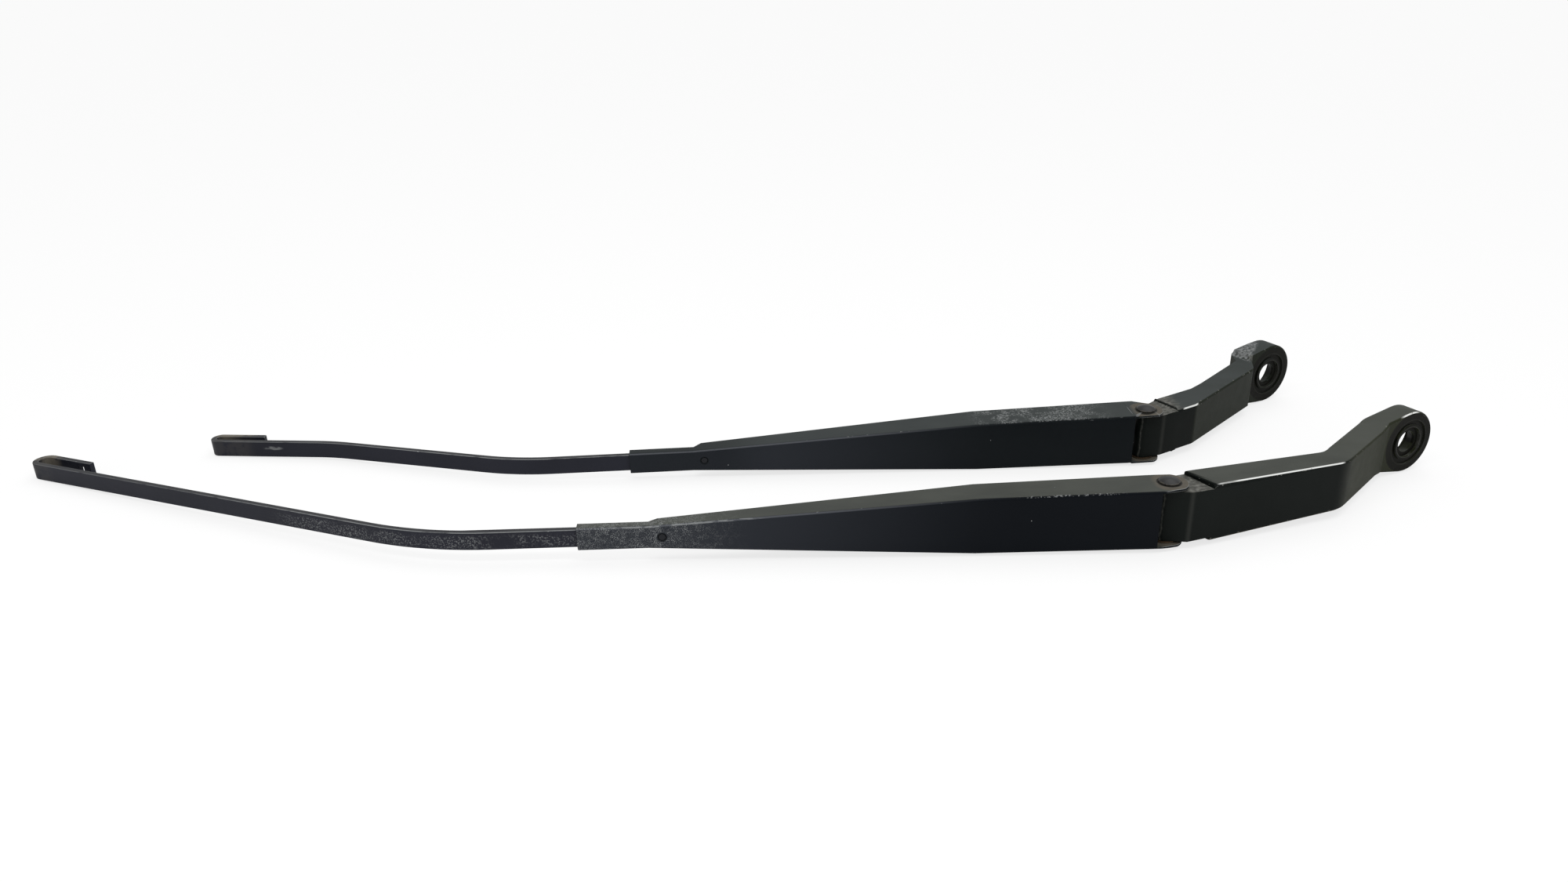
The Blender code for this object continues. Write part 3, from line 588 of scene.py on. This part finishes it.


# %% [markdown]
# ## Black paint and its wear
#
# The arms carry a thin black paint. It is smooth on the pressed channel, a little greener on the
# casting and bluer on the strap. Flat tops have gathered dust and are painted paler for the light
# from above, bends have lost paint and carry a painted highlight, and the spots where a hand or a
# tool grips the arm are worn down to grey metal. These colours are shared by all of the paints
# that follow.

# %% Colours of paint and metal
BLACK_CHANNEL = {"long": (0.0030, 0.0042, 0.0062), "short": (0.0065, 0.0085, 0.0100)}
BLACK_CASTING = (0.0050, 0.0066, 0.0058)
# The casting's black past the crank, painted paler as painted light where that face turns to the
# light.
BEND_CASTING_WITH_PAINTED_LIGHT = {"long": (0.0200, 0.0225, 0.0125), "short": (0.0120, 0.0150, 0.0095)}
BLACK_STRAP = (0.0130, 0.0140, 0.0215)
SCUFFED = (0.0260, 0.0290, 0.0360)
# Rubbed paint with a painted highlight on it, for rounded upper corners that turn up to the light.
RUBBED_PAINT_AND_HIGHLIGHT = (0.095, 0.100, 0.112)
# The tops' dust colours also hold painted light: the tops are painted paler, as if lit from above.
DUST_AND_TOP_LIGHT = {"long": (0.065, 0.069, 0.061), "short": (0.045, 0.051, 0.050)}
STRAP_DUST_AND_TOP_LIGHT = (0.040, 0.041, 0.044)
BARE_STEEL = (0.30, 0.31, 0.31)
BROWN_STEEL = (0.082, 0.074, 0.060)
BARE_CASTING = (0.20, 0.20, 0.18)
SCRAPED_CASTING = (0.058, 0.058, 0.052)
# A painted highlight: the bright line along rounded upper edges, painted in as colour.
PAINTED_EDGE_HIGHLIGHT = (0.75, 0.76, 0.74)
PAINT_SHINE = 0.06


def scaled(color, factor):
    return tuple(part * factor for part in color)


print("the channels' black reflects", BLACK_CHANNEL["long"][1], "and bare steel", BARE_STEEL[1])

# %% Paint, dust and chips
CLOUD_SIZE = 34
DUST_ROUGHNESS = 0.62


def painted(finish, color, spread):
    """A paint colour that drifts darker and lighter in wide clouds."""
    clouds = noise(finish, CLOUD_SIZE, 3)
    return mix(clouds, scaled(color, 1 - spread), scaled(color, 1 + spread))


def dust_and_painted_top_light(finish, coat, size, color):
    """Dust and painted top light on everything that faces up, thinner where it has been wiped."""
    # Up-facing surfaces get dust and painted light together, as one paler colour.
    top = ramp(finish.facing_z, 0.78, 0.99)
    dust_and_top_light = top * ramp(noise(finish, size, 4, 2), 0.2, 0.8, 0.72, 1.0)
    return cover(dust_and_top_light, coat, (color, DUST_ROUGHNESS))


def edge_chips(finish, coat, amount, color):
    """Chips along the marked edges: more of them for a larger amount, 0 to 1."""
    rough = noise(finish, 1.3, 3, 2)
    chips = finish.edge * ramp(rough, 0.70 - 0.3 * amount, 0.78 - 0.3 * amount)
    return cover(chips, coat, (color, 0.5))


# %% [markdown]
# ## Paint on the channels
#
# A hand that lifts the arm takes the channel by its narrow end, so the paint is scuffed there.
# On the long arm it has come off in fine flakes, also round the dimple of the strap's rivet and
# in small bites along the upper corner. On the short arm the flakes are on the top instead. Each
# kind of flake is a window along X, times a coarse noise for patches and a fine one for grain.

# %% Flakes on the long channel
RIVET_INSET = {"long": 239.5, "short": 240.7}
NARROW_END = (-196, -246)
BARE_CORNER = (-290, -196)
BITTEN_CORNER = (-70, -28)
GRAIN = 0.42


def flakes_long(finish, from_rivet):
    """Masks of the flaked narrow end, and of bare lines and bites along the corner."""
    grain = noise(finish, GRAIN, 2)
    worn = ramp(finish.x, *NARROW_END) * ramp(noise(finish, 9, 3), 0.30, 0.65, 0.35, 1.0)
    worn = worn * ramp(from_rivet, 2.2, 3.2, 0.4, 1.0)
    flaked = worn * ramp(grain, 0.49, 0.60) * ramp(noise(finish, 2.4, 2), 0.36, 0.58, 0.25, 1.0)
    corner = bend(finish) * window(finish.x, *BARE_CORNER, 8) * ramp(finish.z, 0, 1)
    corner = corner * window(finish.facing_z, 0.4, 0.8, 0.1)
    line = corner * ramp(noise(finish, 2, 3, 3), 0.48, 0.56)
    bites = window(finish.x, *BITTEN_CORNER, 8) * window(finish.facing_z, 0.5, 0.97, 0.02)
    return flaked, line + bites * ramp(noise(finish, 0.9, 3), 0.52, 0.62)


# %% Flakes on the short channel
FLAKED_TOP = (-90, -28)
EAR_CORNER = (-40, -8)
PATTERNS_BEFORE_FLAKES = 4


def flakes_short(finish):
    """Masks of the flaked top, and of a few bites along the corner by the ear."""
    # The long arm's grain is its fourth pattern, so here too the flakes begin with the fifth.
    finish.patterns = PATTERNS_BEFORE_FLAKES
    top = ramp(finish.facing_z, 0.55, 0.93)
    patch = top * window(finish.x, *FLAKED_TOP, 12) * ramp(noise(finish, 7, 3), 0.36, 0.56)
    flaked = patch * ramp(noise(finish, 0.9, 3), 0.46, 0.62) * 0.7
    corner = bend(finish) * window(finish.x, *EAR_CORNER, 6)
    return flaked, corner * ramp(noise(finish, 1.2, 3, 2), 0.58, 0.66) * 0.4


# %% [markdown]
# The fold turns on a rivet through two ears. The edge of a loose washer has scraped a brown ring
# round the dome, painted shade darkens the crease right beside it, and the ear's own rim is bare.

# %% Wear round the fold's rivet
EAR = 9.0
DOME = 5.4


def ear_wear(finish, coat, arm):
    """A scraped ring on the ear, a ring of painted shade by the dome, and a bare rim."""
    flat = ramp(abs(finish.facing_z), 0.6, 0.9)
    from_pivot = distance(finish, (0, 0, 0), FROM_ABOVE)
    ring = flat * ramp(from_pivot, EAR + 0.8, EAR - 0.6) * ramp(finish.x, -9, -5)
    scratches = noise(finish, 1.5, 3, 3)
    scratched = mix(scratches, scaled(BROWN_STEEL, 0.6), scaled(BROWN_STEEL, 1.5))
    coat = cover(ring, coat, (scratched, 0.5))
    # A ring of painted shade in the crease at the dome's foot, in the channel's own black.
    painted_shade_at_dome = window(from_pivot, DOME - 0.6, DOME + 0.5, 0.3) * flat * 0.8
    coat = cover(painted_shade_at_dome, coat, (BLACK_CHANNEL[arm], 0.6))
    rim = finish.edge * ramp(from_pivot, EAR + 2, EAR)
    return cover(rim * 0.7, coat, (scaled(BARE_STEEL, 0.8), 0.4))


# %% Paint the channels
def channel_paint(arm):
    """Paint on the pressed channel: scuffed towards its narrow end and bare round the rivet."""
    finish = Finish(arm + "_channel_paint", arm)
    scuffs = ramp(finish.x, -70, -235, 0.0, 0.9)
    color = mix(scuffs, painted(finish, BLACK_CHANNEL[arm], 0.2), SCUFFED)
    coat = dust_and_painted_top_light(finish, (color, 0.42 + 0.12 * noise(finish, 9, 3, 4)), 16, DUST_AND_TOP_LIGHT[arm])
    from_rivet = distance(finish, (-RIVET_INSET[arm], 0, 0), FROM_FRONT)
    if arm == "short":
        coat = cover(ramp(finish.x, -200, -236) * 0.5, coat, (BLACK_CHANNEL[arm], 0.45))
        flaked, line = flakes_short(finish)
    else:
        flaked, line = flakes_long(finish, from_rivet)
    # Rubbed paint on the rounded upper corner, with a painted highlight where it turns up to the
    # light.
    rubbed_and_highlit = bend(finish) * window(finish.facing_z, 0.4, 0.8, 0.1) * ramp(finish.x, -70, -190)
    coat = cover(rubbed_and_highlit * 0.7, coat, (RUBBED_PAINT_AND_HIGHLIGHT, 0.45))
    coat = cover(flaked * 0.75, coat, (BARE_STEEL, 0.55))
    coat = cover(line * 0.5, coat, (BARE_STEEL, 0.4))
    chips = bend(finish) * spots(finish, 5, 0.045) + spots(finish, 13, 0.022)
    coat = cover(chips, coat, (BARE_STEEL, 0.5))
    dimple = window(from_rivet, 0, 2.4, 0.25) * 0.8
    coat = cover(dimple, coat, (BLACK_CHANNEL[arm], 0.5))
    coat = ear_wear(finish, coat, arm)
    coat = edge_chips(finish, coat, 0.1, scaled(BARE_STEEL, 0.5))
    return coated(finish, coat, PAINT_SHINE, noise(finish, 1.4, 3), 0.02)


# %% [markdown]
# ## Paint on the heads
#
# The casting is dark up to its crank and painted paler past it, where its face turns to the light;
# that paleness is painted light. The nut has kept the round seat face dark and left rings on it.
# At the knuckle the channel's ears have scraped the shoulder and pushed up a ragged edge of paint.
# The bright upper edges are bare metal with a painted highlight: the bevels' faces are marked, and
# a window on the normal keeps the line narrow.

# %% Wear on the seat face
SEAT_BLACKS = ((0.0022, 0.0022, 0.0014), (0.0070, 0.0072, 0.0048))
SEAT_RADIUS = 16.9
INNER_RING = (8.3, 9.0, 0.25)
OUTER_RING = (12.4, 13.0, 0.3)


def seat_wear(finish, coat, arm):
    """A dark seat face with two faint rings."""
    centre, axis = bore_axis(arm)
    from_axis = distance_from_line(finish, centre, axis)
    upright = ramp(abs(finish.facing_z), 0.5, 0.3)
    on_face = ramp(from_axis, SEAT_RADIUS + 0.3, SEAT_RADIUS - 0.3) * upright
    face = mix(noise(finish, 2.5, 3), *SEAT_BLACKS)
    coat = cover(on_face, coat, (face, 0.5))
    rings = window(from_axis, *INNER_RING) + window(from_axis, *OUTER_RING) * 0.5
    rings = on_face * rings * noise(finish, 4, 2) * 0.25
    return cover(rings, coat, (BARE_CASTING, 0.4))


# %% Wear at the knuckle
SHOULDER_END = 21.5
SHOULDER_TOP = 13.85
CREASE = (8.4, 10.4)


def knuckle_wear(finish, coat):
    """A scraped shoulder, a pale crease beside it, and the ragged edge of the paint."""
    shoulder = ramp(finish.z, SHOULDER_TOP + 0.1, SHOULDER_TOP - 0.1)
    shoulder = shoulder * ramp(finish.facing_z, 0.7, 0.9)
    shoulder = shoulder * ramp(finish.x, SHOULDER_END + 3, SHOULDER_END - 5)
    scratches = ramp(noise(finish, 1.7, 5, 1.3), 0.36, 0.72)
    scraped = mix(scratches * 0.7, SCRAPED_CASTING, BARE_CASTING)
    coat = cover(shoulder, coat, (scraped, 0.5))
    upright = ramp(abs(finish.facing_z), 0.6, 0.4)
    crease = window(finish.x, *CREASE, 1.0) * upright
    coat = cover(crease * 0.08, coat, (BARE_CASTING, 0.5))
    paint_end = finish.x + 1.6 * noise(finish, 3, 3)
    ragged = window(paint_end, -2.5, -2.0, 0.3) * upright
    ragged = ragged * ramp(noise(finish, 2.5, 3), 0.3, 0.6, 0.3, 1.0)
    return cover(ragged * 0.3, coat, (BARE_CASTING, 0.5))


# %% Bare edges and painted highlights of the long head
NECK = {"long": (23, 94), "short": (23, 33)}
BOSS_EDGE = (148, 158)
UNDER_NECK = (20, 100)


def long_edges(finish, coat):
    """Painted highlights on bare upper edges of the neck and the boss, and brown edges below the
    neck.
    """
    # The neck's and the boss's upper edges get a painted highlight, a narrow line turned up to the
    # light.
    neck = window(finish.x, *NECK["long"], 1.5) * window(finish.facing_z, 0.50, 0.88, 0.06)
    neck = neck * finish.edge * ramp(noise(finish, 6, 2, 6), 0.25, 0.5, 0.35, 1.0)
    boss = window(finish.x, *BOSS_EDGE, 2) * finish.edge * window(finish.facing_z, 0.5, 0.9, 0.05)
    coat = cover(neck + boss, coat, (PAINTED_EDGE_HIGHLIGHT, 0.35))
    below = finish.edge * ramp(finish.facing_z, -0.2, -0.5) * window(finish.x, *UNDER_NECK, 4)
    return cover(below * 0.6, coat, (scaled(BROWN_STEEL, 1.6), 0.5))


# %% Bare places and a painted highlight on the short head
BOSS_CORNER = (87.8, 67.9, 0)


def short_edges(finish, coat):
    """A painted highlight on the neck's bare upper edge, a silver patch on the boss, and a worn
    corner.
    """
    # The neck's bare upper edge gets a painted highlight, a narrow line turned up to the light.
    neck = window(finish.x, *NECK["short"], 1.0) * finish.edge
    neck = neck * window(finish.facing_z, 0.45, 0.9, 0.06)
    coat = cover(neck, coat, (PAINTED_EDGE_HIGHLIGHT, 0.35))
    # Across runs down the bore, and along runs at right angles to it, over the boss's face.
    _, axis = bore_axis("short")
    along = finish.x * -axis.y + finish.y * axis.x
    across = finish.x * axis.x + finish.y * axis.y
    patch = ramp(along, 130, 122) * ramp(along, 105, 106) * ramp(finish.z, 7, 10)
    patch = patch * ramp(across + 0.55 * along, 39.5, 36.5) * ramp(finish.facing_z, 0.2, 0.45)
    patch = patch * ramp(noise(finish, 1.6, 4), 0.34, 0.60)
    coat = cover(patch * 0.9, coat, (scaled(BARE_STEEL, 0.65), 0.45))
    from_corner = distance(finish, BOSS_CORNER, FROM_ABOVE)
    worn = ramp(from_corner, 1.8, 0.4) * ramp(noise(finish, 2, 3), 0.3, 0.6)
    return cover(worn * 0.7, coat, (BARE_CASTING, 0.5))


# %% Paint the heads
CRANK = {"long": (92.0, 106.0), "short": (30.0, 32.5)}
# Each head's bare places, with the painted highlights on its upper edges.
BARE_AND_HIGHLIT_EDGES = {"long": long_edges, "short": short_edges}


def head_paint(arm):
    """Paint on the casting: painted light past the crank, dark on the seat, painted highlights on
    bare edges.
    """
    finish = Finish(arm + "_head_paint", arm)
    near = painted(finish, BLACK_CASTING, 0.25)
    far = painted(finish, BEND_CASTING_WITH_PAINTED_LIGHT[arm], 0.12)
    # Past the crank the colour is painted paler for the light that falls on that face.
    color = mix(ramp(finish.x, *CRANK[arm]), near, far)
    coat = dust_and_painted_top_light(finish, (color, 0.44 + 0.12 * noise(finish, 7, 3)), 14, DUST_AND_TOP_LIGHT[arm])
    coat = seat_wear(finish, coat, arm)
    coat = knuckle_wear(finish, coat)
    coat = BARE_AND_HIGHLIT_EDGES[arm](finish, coat)
    coat = edge_chips(finish, coat, 0.18, BARE_CASTING)
    return coated(finish, coat, PAINT_SHINE, noise(finish, 1.1, 3), 0.03)


# %% [markdown]
# ## Paint on the straps
#
# The strap's paint is bluer and a little shinier. Its upper edge is rubbed bright and carries a
# painted highlight, the long strap is speckled for some way beyond the channel, the short hook has
# a silver scratch, and the inside of each hook, where a blade's adapter sat, is brown bare steel,
# painted lighter against the hook's shade. All of these follow the bar's length, so windows along X
# place them, and only the hook's inside needs a step along Y.

# %% Speckle on the long strap
SPECKLED = (-422, -280)


def strap_speckle(finish, coat):
    """Fine speckle on the long strap, beyond the channel and clear of the bar's edges."""
    grain = ramp(noise(finish, 0.7, 2), 0.50, 0.62)
    patches = window(finish.x, *SPECKLED, 14) * ramp(noise(finish, 9, 3, 2), 0.28, 0.52)
    patches = patches * window(finish.z, -3.6, 2.6, 1.2)
    return cover(grain * patches * 0.4, coat, (BARE_STEEL, 0.5))


# %% Wear at the hooks
HOOK_START = {"long": -560.0, "short": -482.0}
HOOK_INSIDE = {"long": 93.0, "short": 42.5}
SCRATCH = (-479, 0, 0.8)
ALONG_SCRATCH = (0.22, 0, 1)


def hook_wear(finish, coat, arm):
    """Brown steel inside the hook, painted lighter against its shade, and a silver scratch on the
    short one.
    """
    start, side = HOOK_START[arm], HOOK_INSIDE[arm]
    hook = ramp(finish.x, start - 6, start - 14) * ramp(noise(finish, 5, 3), 0.3, 0.5)
    inside = ramp(finish.y, side - 1, side + 1, 0.1, 0.9)
    # The brown steel here is painted nearly twice as light, as painted light against the shade in
    # the hook.
    coat = cover(hook * inside, coat, (scaled(BROWN_STEEL, 1.9), 0.6))
    if arm == "short":
        scratch = ramp(distance(finish, SCRATCH, ALONG_SCRATCH), 1.4, 0.7)
        scratch = scratch * ramp(noise(finish, 1.2, 3, 3), 0.35, 0.55)
        coat = cover(scratch * 0.4, coat, (BARE_STEEL, 0.5))
    return coat


# %% Paint the straps
STRAP_SHINE = 0.15


def strap_paint(arm):
    """Bluish paint, rubbed and with a painted highlight on its upper edge, brown and lighter in the
    hook.
    """
    finish = Finish(arm + "_strap_paint", arm)
    color = painted(finish, BLACK_STRAP, 0.25)
    coat = dust_and_painted_top_light(finish, (color, 0.42 + 0.12 * noise(finish, 6, 3, 5)), 12, STRAP_DUST_AND_TOP_LIGHT)
    # The upper edge is rubbed bare and carries a painted highlight where it turns up to the light.
    rubbed_and_highlit = finish.edge * ramp(finish.facing_z, 0.2, 0.5)
    rubbed_and_highlit = rubbed_and_highlit * ramp(noise(finish, 4, 3, 3), 0.25, 0.5) * ramp(finish.x, -520, -380, 0.4, 1.0)
    coat = cover(rubbed_and_highlit * 0.6, coat, (BARE_STEEL, 0.45))
    if arm == "long":
        coat = strap_speckle(finish, coat)
    coat = hook_wear(finish, coat, arm)
    coat = edge_chips(finish, coat, 0.12, BARE_STEEL)
    return coated(finish, coat, STRAP_SHINE, noise(finish, 1.2, 3), 0.02)


# %% [markdown]
# ## Rivets and bare metal
#
# The dome was painted with the arm and is rubbed grey round its rim, so it gets a small paint of
# its own. Pins, washers and springs are bare metal under a dull film: one function makes them
# all, with a colour and a roughness for each kind.

# %% Paint the rivets
DOME_BLACKS = ((0.005, 0.0055, 0.006), (0.011, 0.0115, 0.012))
RIVET_SHINE = 0.3


def rivet_paint(arm):
    """Dark paint on the dome, rubbed to grey round its rim."""
    finish = Finish(arm + "_rivet_paint", arm)
    color = mix(noise(finish, 2, 2), *DOME_BLACKS)
    from_pivot = distance(finish, (0, 0, 0), FROM_ABOVE)
    rim = ramp(from_pivot, 4.3, 5.0) * ramp(noise(finish, 1.5, 2), 0.4, 0.6)
    coat = cover(rim * 0.5, (color, 0.40), (BROWN_STEEL, 0.5))
    return coated(finish, coat, RIVET_SHINE, noise(finish, 1.0, 2), 0.01)


# %% Finish the bare metal
METALS = {
    "zinc": ((0.42, 0.40, 0.36), 0.3),
    "brown_steel": ((0.16, 0.11, 0.07), 0.4),
    "grimy_zinc": ((0.030, 0.031, 0.035), 0.5),
    "bronze": ((0.42, 0.27, 0.14), 0.35),
    "spring_steel": ((0.28, 0.27, 0.26), 0.3),
}
FILM_ROUGHNESS = 0.2
METALLIC = 0.9


def metal(arm, name):
    """Bare metal with a dull film that changes from place to place."""
    finish = Finish(f"{arm}_{name}", arm)
    color, roughness = METALS[name]
    film = noise(finish, 3, 3)
    return finish.apply({
        "Base Color": mix(film, scaled(color, 0.6), scaled(color, 1.1)),
        "Roughness": roughness + FILM_ROUGHNESS * film,
        "Metallic": METALLIC,
    })


# %% [markdown]
# ## Putting the finishes on
#
# Each arm has its own materials, because their coordinates are its own. Pieces of the same metal
# on one arm share one material.

# %% Give every piece its finish
PAINTS = {
    "channel": channel_paint,
    "head": head_paint,
    "strap": strap_paint,
    "pivot_rivet": rivet_paint,
}
METAL_PIECES = {
    "zinc": ("link_pin", "spring_anchor", "spring_link"),
    "brown_steel": ("upper_washer", "lower_washer"),
    "grimy_zinc": ("strap_rivet",),
    "bronze": ("pivot_bush",),
    "spring_steel": ("spring",),
}

for arm in ARMS:
    for kind, paint in PAINTS.items():
        pieces[f"{arm}_{kind}"].data.materials.append(paint(arm))
    for name, kinds in METAL_PIECES.items():
        material = metal(arm, name)
        for kind in kinds:
            pieces[f"{arm}_{kind}"].data.materials.append(material)
bare = [name for name, piece in pieces.items() if len(piece.data.materials) != 1]
print(len(pieces), "pieces have a finish, and without one:", bare)
